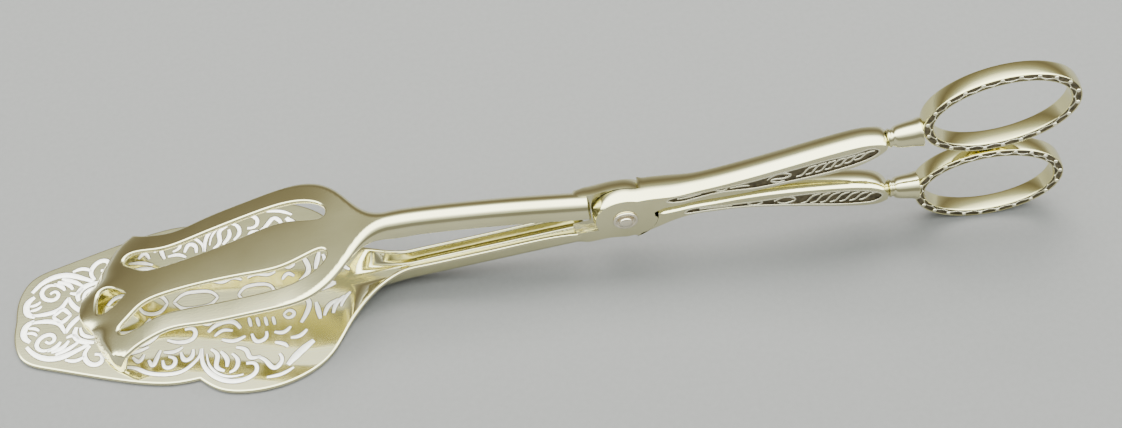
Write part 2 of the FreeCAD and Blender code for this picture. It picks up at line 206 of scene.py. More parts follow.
class Shell:
    """Points with their own normals, and faces between them, gathered into one mesh."""

    def __init__(self):
        self.points, self.normals, self.faces, self.finishes = [], [], [], []
        self.count = 0

    def add(self, points, normals):
        """Adds points and gives their indices."""
        self.points.append(np.asarray(points, float))
        self.normals.append(unit(np.asarray(normals, float)))
        self.count += len(points)
        return np.arange(self.count - len(points), self.count)

    def add_faces(self, faces, finish=0):
        self.faces.append(np.asarray(faces, int))
        self.finishes.append(finish)

    def strip(self, one, other, closed=True, finish=0):
        """Faces between two rows of as many points."""
        if closed:
            faces = np.stack([one, np.roll(one, -1), np.roll(other, -1), other], axis=1)
        else:
            faces = np.stack([one[:-1], one[1:], other[1:], other[:-1]], axis=1)
        self.add_faces(faces, finish)

    def build(self, name, *materials):
        """A smooth mesh object with every face turned the way that its points' normals look."""
        points, normals = np.vstack(self.points), np.vstack(self.normals)
        faces, finishes = [], []
        for group, finish in zip(self.faces, self.finishes):
            across = points[group[:, 2]] - points[group[:, 0]]
            other = points[group[:, -1]] - points[group[:, 1]]
            looks = normals[group].sum(axis=1)
            wrong = np.sum(np.cross(across, other) * looks, axis=1) < 0
            group = np.where(wrong[:, None], group[:, ::-1], group)
            faces += group.tolist()
            finishes += [finish] * len(group)
        mesh = bpy.data.meshes.new(name)
        world = (points + [PIVOT[0], 0, 0]) * MM
        mesh.from_pydata(world.tolist(), [], faces)
        mesh.polygons.foreach_set("use_smooth", [True] * len(faces))
        mesh.polygons.foreach_set("material_index", finishes)
        for material in materials:
            mesh.materials.append(material)
        mesh.normals_split_custom_set_from_vertices(normals.tolist())
        piece = bpy.data.objects.new(name, mesh)
        bpy.context.scene.collection.objects.link(piece)
        return piece


def inside(points, ring):
    """Which points are inside a loop."""
    x, y = points[:, 0][:, None], points[:, 1][:, None]
    x1, y1 = ring.T
    x2, y2 = np.roll(ring, -1, axis=0).T
    spans = (y1 > y) != (y2 > y)
    with np.errstate(divide="ignore", invalid="ignore"):
        crossing = x1 + (y - y1) * (x2 - x1) / (y2 - y1)
    return np.sum(spans & (x < crossing), axis=1) % 2 == 1


def within(points, rings):
    """Which points are inside the first loop and outside the others."""
    found = inside(points, rings[0])
    for ring in rings[1:]:
        found &= ~inside(points, ring)
    return found


def lattice(rings, spacing):
    """Points of an even triangular lattice that lie between the loops, clear of them."""
    low, high = rings[0].min(axis=0), rings[0].max(axis=0)
    row_gap = spacing * math.sqrt(3) / 2
    rows = []
    for k, y in enumerate(np.arange(low[1], high[1], row_gap)):
        x = np.arange(low[0] + spacing * (k % 2) / 2, high[0], spacing)
        rows.append(np.stack([x, np.full_like(x, y)], axis=1))
    points = np.vstack(rows)
    points = points[within(points, rings)]
    border = np.vstack(rings)
    clear = np.ones(len(points), bool)
    for first in range(0, len(points), 2000):
        part = points[first:first + 2000]
        gap = np.min(np.sum((part[:, None] - border[None])**2, axis=2), axis=1)
        clear[first:first + 2000] = gap > (0.6 * spacing)**2
    return points[clear]


def graded_lattice(rings, spacing):
    """A lattice whose spacing is one number, or (coarse, start, fine): coarse up to x = start, fine beyond."""
    if np.isscalar(spacing):
        return lattice(rings, spacing)
    coarse, start, fine = spacing
    wide, close = lattice(rings, coarse), lattice(rings, fine)
    return np.vstack([wide[wide[:, 0] < start - coarse / 2], close[close[:, 0] > start]])


def triangulate(rings, spacing):
    """(points, triangles) that fill the region between loops; the loops' own points come first, in order."""
    border = np.vstack(rings)
    points = np.vstack([border, graded_lattice(rings, spacing)])
    edges, first = [], 0
    for ring in rings:
        edges += [(first + i, first + (i + 1) % len(ring)) for i in range(len(ring))]
        first += len(ring)
    made = geometry.delaunay_2d_cdt([Vector(p) for p in points], edges, [], 0, 1e-7)
    crossings = [made[0][k] for k, came_from in enumerate(made[3]) if not came_from]
    new = iter(range(len(points), len(points) + len(crossings)))
    source = np.array([came_from[0] if came_from else next(new) for came_from in made[3]])
    points = np.vstack([points] + [np.array(p)[None] for p in crossings])
    triangles = source[np.array(made[2])]
    middle = points[triangles].mean(axis=1)
    return points, triangles[within(middle, rings)]


class Face:
    """A curved face that plates are built on: point_at(u, v, height) gives points, 0 being its middle."""

    NUDGE = 0.02

    def __init__(self, point_at, height):
        self.point_at, self.height = point_at, height

    def slopes(self, uv):
        u, v = uv.T
        n, height = self.NUDGE, self.height
        along = (self.point_at(u + n, v, height) - self.point_at(u - n, v, height)) / (2 * n)
        across = (self.point_at(u, v + n, height) - self.point_at(u, v - n, height)) / (2 * n)
        return along, across

    def normals(self, uv):
        normal = unit(np.cross(*self.slopes(uv)))
        away = self.point_at(*uv.T, self.height) - self.point_at(*uv.T, 0)
        return normal * np.where(np.sum(normal * away, axis=1, keepdims=True) < 0, -1, 1)

    def outward(self, uv, inward_uv):
        """Unit directions out of the plate's edge, in its own surface."""
        along, across = self.slopes(uv)
        return -unit(along * inward_uv[:, :1] + across * inward_uv[:, 1:])


def curved_sheet(centre_at, half_thickness, side):
    """The upper (side 1) or lower (side -1) face of a sheet whose middle surface is centre_at(u, v)."""
    n = Face.NUDGE

    def normal(u, v):
        along = centre_at(u + n, v) - centre_at(u - n, v)
        across = centre_at(u, v + n) - centre_at(u, v - n)
        return unit(np.cross(along, across))

    def point_at(u, v, height):
        return centre_at(u, v) + side * height * normal(u, v)

    return Face(point_at, half_thickness)


def rim_of_sheet(thickness, steps=4):
    """A half-round edge: rows of (inset, height, share of the normal that looks outward)."""
    angles = np.linspace(0, math.pi / 2, steps + 1)
    radius = thickness / 2
    return [(radius * (1 - math.cos(a)), radius * math.sin(a), math.cos(a)) for a in angles]


def rim_of_crown(half_width, rise, bevel=0.12, steps=7):
    """Half of a crowned edge that ends in a small bevel at a flat side face."""
    radius = (half_width**2 + rise**2) / (2 * rise)
    reach = half_width - bevel
    rows = []
    for k in range(steps + 1):
        across = reach * k / steps
        drop = radius - math.sqrt(radius**2 - across**2)
        rows.append((drop, across / half_width, math.sqrt(1 - (across / radius)**2)))
    drop = rows[-1][0]
    return rows + [(drop + bevel, 1.0, 0.0)]


def cap(shell, face, rings, rim, first_rows, spacing, holds=None, panels=()):
    """One face of a plate, from the given first row of each loop over its rim to the flat, with sunk panels.

    holds gives, for each loop, how far each point keeps a straight upright edge instead of the rim."""
    inner, last_rows = [], []
    for k, (ring, first_row) in enumerate(zip(rings, first_rows)):
        way = inward(ring)
        share = np.ones(len(ring)) if holds is None else 1.0 - holds[k]
        row = first_row
        for inset, height, out in rim[1:]:
            uv = ring + way * (inset * share)[:, None]
            normal = face.normals(uv)
            outward = face.outward(uv, way)
            lean = (share * out + (1 - share) * (out > 0))[:, None]
            tilt = np.sqrt(np.maximum(0, 1 - lean**2)) * normal + lean * outward
            next_row = shell.add(face.point_at(*uv.T, height), tilt)
            shell.strip(row, next_row)
            row = next_row
        inner.append(uv)
        last_rows.append(row)
    for panel in panels:
        last_rows.append(shell.add(face.point_at(*panel.T, face.height), face.normals(panel)))
    region = inner + list(panels)
    points, triangles = triangulate(region, spacing)
    border = sum(len(ring) for ring in region)
    middle = points[border:]
    middle_row = shell.add(face.point_at(*middle.T, face.height), face.normals(middle))
    shell.add_faces(np.concatenate(last_rows + [middle_row])[triangles])
    # The sunk panels take finish 1, the dark metal that paints shade into them.
    for panel in panels:
        sink_panel(shell, face, panel, spacing, finish=1)


def sink_panel(shell, face, panel, spacing, finish):
    """A shallow sunk panel: sloping walls down from its border and a flat floor."""
    way = inward(panel)
    slope = 0.12
    depth = PANEL_DEPTH / GRIP_HALF_WIDTH
    foot = panel + way * slope
    wall = face.normals(panel) - face.outward(panel, way) * 2
    top_row = shell.add(face.point_at(*panel.T, 1.0), wall)
    foot_row = shell.add(face.point_at(*foot.T, 1.0 - depth), wall)
    shell.strip(top_row, foot_row, finish=finish)
    points, triangles = triangulate([foot], spacing)
    floor_row = shell.add(face.point_at(*points.T, 1.0 - depth), face.normals(points))
    shell.add_faces(floor_row[triangles], finish)


def sheet_plate(name, centre_at, thickness, rings, spacing, materials):
    """A plate of even thickness along a curved middle surface, with half-round edges all round its loops."""
    shell = Shell()
    rim = rim_of_sheet(thickness)
    faces = [curved_sheet(centre_at, thickness / 2, side) for side in (1, -1)]
    rings = [rings[0]] + [ring[::-1] for ring in rings[1:]]
    first_rows = []
    for ring in rings:
        first_rows.append(shell.add(faces[0].point_at(*ring.T, 0), faces[0].outward(ring, inward(ring))))
    for face in faces:
        cap(shell, face, rings, rim, first_rows, spacing)
    return shell.build(name, *materials)


# ---- ornament ----


def ribbon(shell, face, line, widths, base, rise, finish=0, domed=False):
    """A raised line on a face: flat-topped, or domed, its width running through the given values."""
    side = leftward(unit(np.gradient(line, axis=0)))
    share = np.linspace(0, 1, len(line))
    half = np.interp(share, np.linspace(0, 1, len(widths)), widths)[:, None] / 2
    if domed:
        stations = [(-1.0, 0.0), (-0.75, 0.6), (-0.35, 0.94), (0.0, 1.0), (0.35, 0.94), (0.75, 0.6),
                    (1.0, 0.0)]
    else:
        stations = [(-1.0, 0.0), (-0.9, 0.8), (-0.8, 1.0), (0.8, 1.0), (0.9, 0.8), (1.0, 0.0)]
    rows = []
    for across, lift in stations:
        uv = line + side * half * across
        normal = face.normals(uv)
        outward = face.outward(uv, -side * np.sign(across or 1.0))
        lean = abs(across)**2 * (0.9 if domed else 0.7)
        rows.append(shell.add(face.point_at(*uv.T, face.height + base + rise * lift),
                              normal * math.sqrt(1 - lean**2) + outward * lean * (across != 0)))
    for one, other in zip(rows, rows[1:]):
        shell.strip(one, other, closed=False, finish=finish)
    for end in (0, -1):
        corner = [row[end] for row in rows]
        shell.add_faces([[corner[0], a, b] for a, b in zip(corner[1:], corner[2:])], finish)


# ---- blade and lower shank ----


def curl(v, flat_half, radius, angle):
    """(sideways, lift) of a strip whose sides bend up: flat in the middle, then round, then straight."""
    distance = np.abs(v)
    turn = np.clip((distance - flat_half) / radius, 0, angle)
    past = np.maximum(0, distance - flat_half - radius * angle)
    sideways = np.minimum(distance, flat_half) + radius * np.sin(turn) + past * np.cos(angle)
    lift = radius * (1 - np.cos(turn)) + past * np.sin(angle)
    return np.sign(v) * sideways, lift


# The shank's sides bend up round this radius, which widens towards the blade.
SHANK_CURL_RADIUS = 1.55
SHANK_FLAT_HALF = SHANK_WIDTH / 2 - JAW_THICKNESS / 2 - SHANK_CURL_RADIUS
SHANK_DEVELOPED = 6.6
BLADE_CURL_RADIUS = profile([(-73.0, 9.0), (-69.0, 7.0), (-64.0, 4.2), (-59.0, 2.4),
                             (-54.0, SHANK_CURL_RADIUS), (-50.0, SHANK_CURL_RADIUS)])


def blade_centre(u, v):
    """Middle surface of the blade and lower shank: u along, v across before its sides are bent up."""
    ramp_start, ramp_ease = -69.0, 2.6
    rise = SHANK_SLOPE * ramp_ease * np.logaddexp(0, (u - ramp_start) / ramp_ease)
    angle = np.radians(90) * ease(-72.0, -53.0, u)
    sideways, lift = curl(v, SHANK_FLAT_HALF, BLADE_CURL_RADIUS(u), np.maximum(angle, 1e-6))
    return np.stack([u, sideways, BLADE_THICKNESS / 2 + rise + lift], axis=-1)


def blade_outline():
    front = smooth_line([(-153.4, 0), (-153.3, 6.0), (-150.4, 12.0), (-144.0, 15.1), (-128.8, 20.0),
                         (-113.5, 23.4), (-106.8, 23.0)])
    rear = smooth_line([(-106.8, 23.0), (-101.5, 26.8), (-92.0, 28.1), (-82.5, 26.0), (-74.5, 20.3),
                        (-69.3, 12.0), (-65.0, 8.4), (-60.0, 7.0), (-54.0, SHANK_DEVELOPED)], step=0.45)
    shank = smooth_line([(-54.0, SHANK_DEVELOPED), (-30.0, SHANK_DEVELOPED), (-16.0, SHANK_DEVELOPED - 0.3),
                         (-10.0, SHANK_DEVELOPED - 1.5)])
    side = np.vstack([front, rear, shank])
    return loop(side, mirrored(side))


# ---- jaw and upper shank ----

# Along the jaw and its shank: height of the crown, half width, how far the sides roll down in degrees, the
# roll's radius, and the straight skirt past the roll.
JAW_CROWN = profile([(-138.0, 2.9), (-130.0, 5.9), (-117.0, 10.8), (-104.0, 14.8), (-84.0, 20.6),
                     (-76.0, 22.7), (-70.0, 24.1), (-65.0, 25.1), (-60.0, 26.1), (-55.0, 26.9), (-48.0, 27.2),
                     (-38.0, 27.0), (-25.0, 26.3), (-12.5, 25.2), (0.0, 24.2)])
JAW_HALF_WIDTH = profile([(-118.5, 15.8), (-112.5, 14.5), (-104.0, 15.5), (-92.0, 16.8), (-82.5, 17.4),
                          (-75.5, 16.3), (-69.6, 12.2), (-65.0, 6.9), (-60.5, 4.0), (-56.0, 3.2), (-52.0, 3.2)])
JAW_ROLL = profile([(-95.0, 0.0), (-86.0, 9.0), (-80.0, 28.0), (-74.0, 45.0), (-68.0, 55.0), (-62.0, 74.0),
                    (-55.0, 90.0), (-50.0, 90.0)])
JAW_ROLL_RADIUS = profile([(-90.0, 1.6), (-75.0, 1.7), (-66.0, 2.0), (-57.0, 2.55), (-50.0, 2.55)])
JAW_SKIRT = profile([(-70.0, 0.3), (-64.0, 0.5), (-56.0, 2.1), (-50.0, 2.1)])
JAW_CROWN_ACROSS = 0.8
JAW_FRONT = profile([(0.0, -137.2), (2.1, -136.9), (4.1, -135.7), (6.0, -134.0), (7.8, -132.9), (10.2, -132.1),
                     (12.1, -131.2), (14.1, -130.0), (16.3, -128.0), (18.4, -124.5)])


def jaw_roll(u):
    """Flat half width, bend radius and bend angle of the jaw's sides, and half of its whole developed width."""
    width = JAW_HALF_WIDTH(u) - JAW_THICKNESS / 2 * ease(-70.0, -58.0, u)
    angle = np.radians(np.clip(JAW_ROLL(u), 0.01, 90))
    radius = JAW_ROLL_RADIUS(u)
    skirt = JAW_SKIRT(u)
    flat = np.maximum(0.0, width - radius * np.sin(angle) - skirt * np.cos(angle))
    return flat, radius, angle, flat + radius * angle + skirt


def jaw_front(y):
    """x of the lip's lower edge in plan: three shallow lobes."""
    return JAW_FRONT(np.abs(y))


def jaw_centre(u, v):
    """Middle surface of the jaw and upper shank: arched, turned down at the lip and along its neck."""
    flat, radius, angle, _ = jaw_roll(u)
    sideways, drop = curl(v, flat, radius, angle)
    crown = JAW_CROWN_ACROSS * (1 - ease(-84.0, -64.0, u)) * (sideways / np.maximum(JAW_HALF_WIDTH(u), 8))**2
    plate = JAW_CROWN(u) - JAW_THICKNESS / 2 - crown
    lowest = BLADE_THICKNESS + JAW_LIP_CLEARANCE + JAW_THICKNESS / 2
    steepness = 0.8 + 0.9 * (v / 16.0)**2
    lip = lowest + steepness * (u - jaw_front(v))
    plate = 0.5 * (plate + lip - np.sqrt((plate - lip)**2 + 1.2))
    return np.stack([u, sideways, plate - drop], axis=-1)


def jaw_outline():
    side = smooth_line([(-128.0, 16.3), (-126.4, 17.9), (-124.5, 18.4), (-121.5, 17.0), (-118.5, 15.8)])
    u = np.arange(-118.5, -8.0, 0.6)
    flank = np.stack([u, jaw_roll(u)[3]], axis=1)
    front_y = np.arange(0.0, 16.3, 0.6)
    front = np.stack([jaw_front(front_y), front_y], axis=1)
    half = np.vstack([front, side, flank])
    return loop(half, mirrored(half))


def jaw_slot():
    return smooth_line([(-125.4, 10.0), (-124.6, 11.2), (-121.5, 11.4), (-117.0, 10.2), (-112.5, 9.6),
                        (-104.0, 10.4), (-92.0, 11.6), (-82.0, 11.9), (-75.5, 10.2), (-72.0, 6.9), (-72.4, 5.0),
                        (-76.0, 5.1), (-83.0, 6.6), (-92.0, 5.9), (-104.0, 4.6), (-113.0, 4.3), (-119.5, 5.2),
                        (-123.5, 8.0)], closed=True)


def jaw_front_hole():
    half = [(-124.3, 0.0), (-125.6, 1.3), (-127.6, 2.7), (-129.8, 3.5), (-131.5, 3.0), (-132.1, 1.2)]
    return smooth_line(half + [(-132.1, -1.2)] + [(x, -y) for x, y in half[:0:-1]][1:], closed=True)


# ---- arm castings: cheek and grip ----

CROWN_RISE = 0.8
# How far from the shoulder an upright edge eases back into the round rim.
SHOULDER_EASE = 1.2
# Gaps between a casting's inner mesh points, on its side faces and on the flat of the lap.
FACE_SPACING = 1.6
BACK_SPACING = 3.0


def arm_half_width(u):
    """Half of a casting's width: widest at the joint, and narrower in the shank and along the grip."""
    width = GRIP_HALF_WIDTH + (JOINT_HALF_WIDTH - GRIP_HALF_WIDTH) * (1 - ease(9.0, 20.0, u))
    return width - 0.55 * ease(8.5, 12.0, -u)


def casting_face(sign):
    """Side face of a casting from the lap plane out to its half width, on the near (-1) or far (1) side."""
    lap = sign * LAP_GAP / 2

    def point_at(u, v, height):
        return np.stack([u, lap + sign * height * (arm_half_width(u) - abs(lap)), v], axis=-1)

    return Face(point_at, 1.0)


def beyond_shoulder(outline):
    """The grip's part of an outline, closed by the shoulder's arc, and how upright its edge stays there."""
    from_axis = outline - [0, PIVOT[2]]
    beyond = (np.linalg.norm(from_axis, axis=1) > SHOULDER_RADIUS) & (outline[:, 0] > 0)
    start = np.flatnonzero(beyond & ~np.roll(beyond, 1))[0]
    points = np.roll(outline, -start, axis=0)[:np.sum(beyond)]
    end_angle, start_angle = (math.degrees(math.atan2(z - PIVOT[2], x)) for x, z in points[[0, -1]])
    turn = (end_angle - start_angle + 180) % 360 - 180
    bend = arc(SHOULDER_RADIUS, start_angle, start_angle + turn)
    from_bend = np.min(np.linalg.norm(points[:, None] - bend[[0, -1]][None], axis=2), axis=1)
    holds = np.concatenate([1 - np.clip(from_bend / SHOULDER_EASE, 0, 1), np.ones(len(bend))])
    return np.vstack([points, bend]), holds


def beside_shoulder(outline):
    """1 where the cheek's round edge runs along the other arm's lower shoulder, and 0 elsewhere."""
    from_axis = outline - [0, PIVOT[2]]
    radius = np.linalg.norm(from_axis, axis=1)
    angle = np.degrees(np.arctan2(from_axis[:, 1], from_axis[:, 0]))
    return (np.abs(radius - CHEEK_RADIUS) < 0.1) * ease(-75.0, -62.0, angle) * (1 - ease(-6.0, 2.0, angle))


def casting(near, outline, panel):
    """Cheek and grip in one: the lap half on its own side, and the full width beyond the shoulder."""
    shell = Shell()
    rim = rim_of_crown(GRIP_HALF_WIDTH, CROWN_RISE)
    own, other = (-1, 1) if near else (1, -1)
    own_face, other_face = casting_face(own), casting_face(other)
    edge = shell.add(own_face.point_at(*outline.T, 0.0), own_face.outward(outline, inward(outline)))
    holds = [beside_shoulder(outline)]
    cap(shell, own_face, [outline], rim, [edge], FACE_SPACING, holds=holds, panels=[panel])
    points, triangles = triangulate([outline], BACK_SPACING)
    back = shell.add(own_face.point_at(*points.T, 0.0), np.tile([0, -own, 0], (len(points), 1)))
    shell.add_faces(back[triangles])
    lobe, holds = beyond_shoulder(outline)
    first = other_face.point_at(*lobe.T, 0.0)
    first[:, 1] = own * LAP_GAP / 2
    edge = shell.add(first, other_face.outward(lobe, inward(lobe)))
    cap(shell, other_face, [lobe], rim, [edge], FACE_SPACING, holds=[holds], panels=[panel])
    return shell, own_face, other_face


def upper_grip_line():
    bottom = smooth_line([(9.6, 20.6), (12.5, 20.8), (28.0, 21.9), (40.0, 23.8), (50.0, 25.5), (56.0, 27.3),
                          (59.5, 29.3), (62.0, 31.4), (63.2, 33.0)])
    top = smooth_line([(63.2, 34.8), (62.2, 35.7), (60.0, 36.3), (57.0, 36.4), (50.0, 35.0), (40.0, 32.2),
                       (28.0, 28.9), (19.0, 26.9), (12.5, 26.2), (6.0, 26.3), (3.0, 26.0)])
    return bottom, top


def near_arm_outline():
    """Near cheek with its stub into the lower shank and the upper grip, in side view."""
    bottom, top = upper_grip_line()
    stub = np.array([(-STUB_REACH, 14.6), (-STUB_REACH, 9.9)])
    under = smooth_line([(-STUB_REACH, 9.9), (-8.0, 10.2), (-4.0, 10.8), (0.0, PIVOT[2] - CHEEK_RADIUS)])
    cheek_top, cheek_bottom = arc(CHEEK_RADIUS, 78, 200), arc(CHEEK_RADIUS, -90, 8)
    return clear_corners(loop(bottom, top, cheek_top, stub, under, cheek_bottom))


def lower_grip_line():
    bottom = smooth_line([(3.0, 10.9), (7.0, 12.5), (12.5, 15.2), (20.0, 16.0), (28.0, 16.0), (38.0, 14.7),
                          (50.0, 12.4), (59.0, 10.9), (63.5, 11.1), (65.9, 12.6)])
    top = smooth_line([(65.9, 14.6), (65.0, 16.4), (63.0, 18.2), (59.0, 19.7), (50.0, 20.9), (38.0, 21.5),
                       (28.0, 21.2), (20.0, 20.4), (12.5, 20.0), (8.6, 19.6)])
    return bottom, top


def far_arm_outline():
    """Far cheek with its stub into the upper shank and the lower grip, in side view."""
    bottom, top = lower_grip_line()
    stub = np.array([(-STUB_REACH, 25.0), (-STUB_REACH, 20.1)])
    over = smooth_line([(0.0, PIVOT[2] + CHEEK_RADIUS), (-4.0, 26.2), (-8.0, 25.3), (-STUB_REACH, 25.0)])
    cheek_top, cheek_bottom = arc(CHEEK_RADIUS, 10, 90), arc(CHEEK_RADIUS, 172, 290)
    return clear_corners(loop(bottom, top, cheek_top, over, stub, cheek_bottom))


UPPER_PANEL = [(9.9, 24.0), (12.5, 22.9), (16.5, 23.0), (23.0, 24.2), (30.0, 24.2), (38.0, 25.1), (45.0, 26.2),
               (51.0, 27.6), (56.0, 29.3), (59.6, 31.4), (60.6, 33.4), (58.6, 34.5), (55.5, 33.6), (49.0, 32.2),
               (43.6, 30.8), (37.0, 29.0), (29.0, 26.8), (23.0, 25.8), (16.0, 24.9), (11.2, 24.9)]
LOWER_PANEL = [(14.5, 17.9), (20.9, 17.4), (27.0, 17.3), (33.2, 16.8), (40.0, 15.7), (46.0, 14.7), (53.0, 13.3),
               (59.0, 12.7), (62.4, 13.2), (63.6, 15.0), (61.6, 16.8), (57.0, 18.2), (50.5, 19.0), (44.0, 19.3),
               (36.0, 18.9), (28.0, 18.7), (20.0, 18.9), (15.0, 18.7)]


# ---- turned pieces, beads and finger rings ----


def lathe(shell, line, origin, axis, side, around=56, finish=0):
    """Turns a line of (distance along the axis, radius) round the axis, from one direction across it."""
    origin, axis, side = (np.array(v, float) for v in (origin, axis, side))
    ahead = unit(np.gradient(line, axis=0))
    angle = np.linspace(0, 2 * math.pi, around, endpoint=False)[:, None]
    out = np.cos(angle) * side + np.sin(angle) * np.cross(axis, side)
    row = None
    for (distance, radius), (along, away) in zip(line, ahead):
        next_row = shell.add(origin + axis * distance + out * radius, out * along - axis * away)
        if row is not None:
            shell.strip(row, next_row, finish=finish)
        row = next_row


def dome(shell, centre, up, ahead, radius, height, finish=0):
    """A round bead on a face: its middle, the way it stands, and one direction along the face."""
    line = [(height * math.sin(a), radius * math.cos(a)) for a in np.linspace(-0.3, math.pi / 2 - 0.02, 6)]
    lathe(shell, np.array(line), centre, up, ahead, around=12, finish=finish)


class Oval:
    """A finger ring's shape: round gives points by share of the way round, depth in from outside, and y."""

    def __init__(self, x, z, tilt):
        self.centre = np.array([x, 0.0, z])
        turn = math.radians(tilt)
        self.long = np.array([math.cos(turn), 0.0, math.sin(turn)])
        self.short = np.array([-math.sin(turn), 0.0, math.cos(turn)])
        angle = np.linspace(0, 2 * math.pi, 2001)
        middle = RING_THICKNESS / 2
        steps = np.hypot((RING_HALF_LENGTH - middle) * np.diff(np.cos(angle)),
                         (RING_HALF_HEIGHT - middle) * np.diff(np.sin(angle)))
        self.angle, self.travelled = angle, np.concatenate([[0], np.cumsum(steps)]) / np.sum(steps)

    def round(self, share, depth, y):
        angle = np.interp(share % 1.0, self.travelled, self.angle)[:, None]
        return (self.centre + (RING_HALF_LENGTH - depth) * np.cos(angle) * self.long
                + (RING_HALF_HEIGHT - depth) * np.sin(angle) * self.short + Y_AXIS * y)

    def outward(self, share):
        angle = np.interp(share % 1.0, self.travelled, self.angle)[:, None]
        along, up = RING_HALF_HEIGHT * np.cos(angle), RING_HALF_LENGTH * np.sin(angle)
        return unit(along * self.long + up * self.short)


RING_WAVES = 22
RING_STATIONS = 480
# Across the wavy ridge: distance from its middle, height, and how far its normal leans.
RIDGE = [(-0.12, 0.0, -0.9), (-0.08, 0.1, -0.6), (0.0, 0.14, 0.0), (0.08, 0.1, 0.6), (0.12, 0.0, 0.9)]
# Each row of beads: share of a wave from the crest, depth in from outside, and radius.
BEAD_ROWS = [(0.5, 0.96, 0.58), (0.0, 2.1, 0.24)]


def ring_section():
    """(depth in from outside, y) round the band with sunk side faces, and its (outward, along y) normals."""
    t, w, crown, sunk = RING_THICKNESS, RING_HALF_WIDTH, 0.2, 0.22
    outer = [(crown * (y / w)**2, y) for y in np.linspace(0, w - 0.25, 6)]
    side = [(0.24, w - 0.08), (0.32, w - 0.06), (0.42, w - sunk), (t - 0.3, w - sunk), (t - 0.24, w - 0.1),
            (t - 0.18, w - 0.1)]
    inner = [(t - 0.14 * (y / w)**2, y) for y in np.linspace(w - 0.2, 0, 6)]
    half = np.array(outer + side + inner)
    section = np.vstack([half, (half * [1, -1])[::-1][1:-1]])
    ahead = unit(np.roll(section, -1, axis=0) - np.roll(section, 1, axis=0))
    return section, np.stack([ahead[:, 1], ahead[:, 0]], axis=1)


def finger_ring(name, oval, materials):
    """Oval band, with a wavy ridge and two rows of beads on each side face."""
    shell = Shell()
    share = np.arange(RING_STATIONS) / RING_STATIONS
    out = oval.outward(share)
    section, looks = ring_section()
    rows = []
    for (depth, y), (away, along_y) in zip(section, looks):
        sunk = 0.4 < depth < RING_THICKNESS - 0.28 and abs(y) > 1
        rows.append((shell.add(oval.round(share, depth, y), out * away + Y_AXIS * along_y), sunk))
    # The sunk side faces take finish 1, the dark metal that paints shade into them.
    for (one, one_sunk), (other, other_sunk) in zip(rows, rows[1:] + rows[:1]):
        shell.strip(one, other, finish=1 if one_sunk and other_sunk else 0)
    wave = 1.68 + 0.22 * np.cos(2 * math.pi * RING_WAVES * share)
    for side in (-1, 1):
        face_y = side * (RING_HALF_WIDTH - 0.2)
        rows = [shell.add(oval.round(share, (wave + aside)[:, None], face_y + side * lift),
                          -out * lean + Y_AXIS * side * math.sqrt(1 - lean**2)) for aside, lift, lean in RIDGE]
        # The ridge and the beads take finish 2, the paler metal that paints highlights on them.
        for one, other in zip(rows, rows[1:]):
            shell.strip(one, other, finish=2)
        for phase, depth, radius in BEAD_ROWS:
            at = (np.arange(RING_WAVES) + phase) / RING_WAVES
            for centre, up in zip(oval.round(at, depth, face_y), oval.outward(at)):
                dome(shell, centre, Y_AXIS * side, up, radius, 0.75 * radius, finish=2)
    return shell.build(name, *materials)


COLLAR_LINE = [(0.0, 1.8), (0.2, 2.2), (0.6, 2.3), (0.9, 2.1), (1.15, 2.12), (1.6, 2.48), (2.6, 2.82),
               (4.2, 3.06), (6.0, 3.3), (6.85, 3.54), (7.15, 3.5), (7.25, 3.2)]


def collar(name, start, heading, reach, materials):
    """Bell between a grip and a ring, with a bead at its root and a lip round its closed mouth."""
    shell = Shell()
    line = smooth_line(COLLAR_LINE, step=0.12)
    line[:, 0] *= reach / COLLAR_LINE[-1][0]
    axis = np.array([math.cos(math.radians(heading)), 0.0, math.sin(math.radians(heading))])
    side = np.array([-axis[2], 0.0, axis[0]])
    lathe(shell, line, start, axis, side)
    mouth, mouth_radius = line[-1]
    lathe(shell, np.array([(mouth, mouth_radius), (mouth, 0.02)]), start, axis, side)
    return shell.build(name, *materials)


# ---- rivet ----


def rivet_end(side, materials):
    """Washer with a raised round edge on one side of the joint, and the pin's low domed head inside it."""
    washer, head = Shell(), Shell()
    face = JOINT_HALF_WIDTH - 0.02
    axis, up = (0.0, side, 0.0), (0.0, 0.0, 1.0)
    origin = (0.0, side * face, PIVOT[2])
    r, t = WASHER_RADIUS, WASHER_THICKNESS
    line = [(0.0, r - 0.05), (0.25, r), (t - 0.1, r - 0.1), (t + 0.03, r - 0.4), (t - 0.02, r - 0.7),
            (0.32, r - 0.95), (0.2, r - 1.15), (0.1, r - 1.4)]
    lathe(washer, smooth_line(line, step=0.06), origin, axis, up, around=96)
    line = [(0.0, 1.66), (0.7, 1.72), (1.1, 1.6), (1.34, 1.15), (1.42, 0.6), (1.44, 0.01)]
    lathe(head, smooth_line(line, step=0.06), origin, axis, up, around=80)
    label = "near" if side < 0 else "far"
    return washer.build(f"{label}_washer_ring", *materials), head.build(f"{label}_rivet_head", *materials)


# ---- scrollwork on the blade ----

